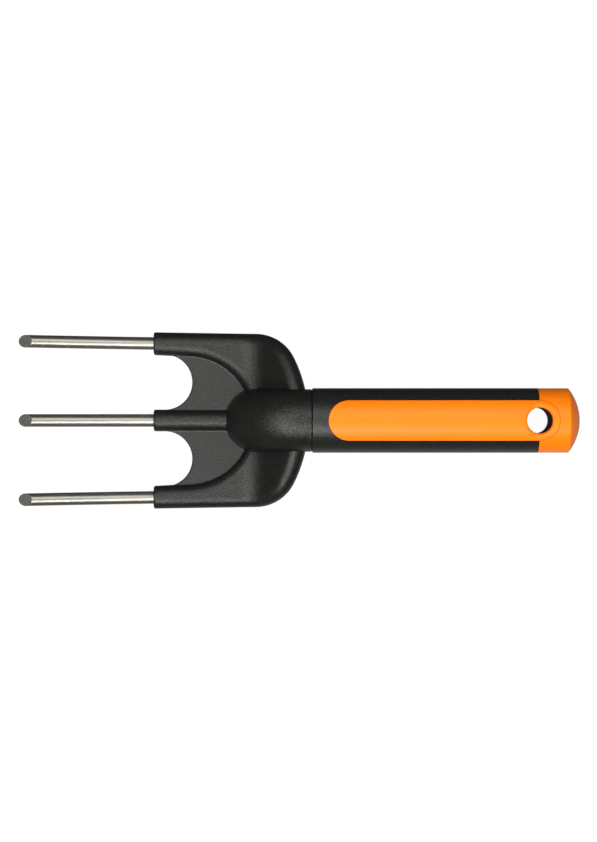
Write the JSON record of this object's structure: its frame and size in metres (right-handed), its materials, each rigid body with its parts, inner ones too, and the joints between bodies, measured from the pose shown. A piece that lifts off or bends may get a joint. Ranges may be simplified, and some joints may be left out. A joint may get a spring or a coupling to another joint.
{
  "type": "hand cultivator",
  "caption": "Three-tined hand fork: steel tines in a cranked moulded head, and a soft-sleeved handle with orange inlays, a domed end cap and a hanging hole.",
  "frame": {"origin": "centre of the hanging hole, on the handle's axis", "axes": "+X along the handle's axis from the tines to the tail; +Z out of the face that the tines sweep towards, along the hanging hole; +Y completes a right-handed frame, so the tines are spread along Y"},
  "size_m": [0.2821, 0.0894, 0.0396],
  "materials": {
    "moulded_head": "spark-eroded matte, glass-filled nylon",
    "steel_tine": "drawn and lightly polished stainless rod, sawn ends",
    "hard_core": "moulded black polypropylene",
    "soft_sleeve": "matte thermoplastic elastomer",
    "orange_shell": "satin moulded polypropylene"
  },
  "bodies": {
    "root": {"head": "moulded_head", "tine_left": "steel_tine", "tine_middle": "steel_tine", "tine_right": "steel_tine", "grip_core": "hard_core", "soft_grip": "soft_sleeve", "top_inlay": "orange_shell", "bottom_inlay": "orange_shell", "end_cap": "orange_shell"}
  },
  "joints": []
}
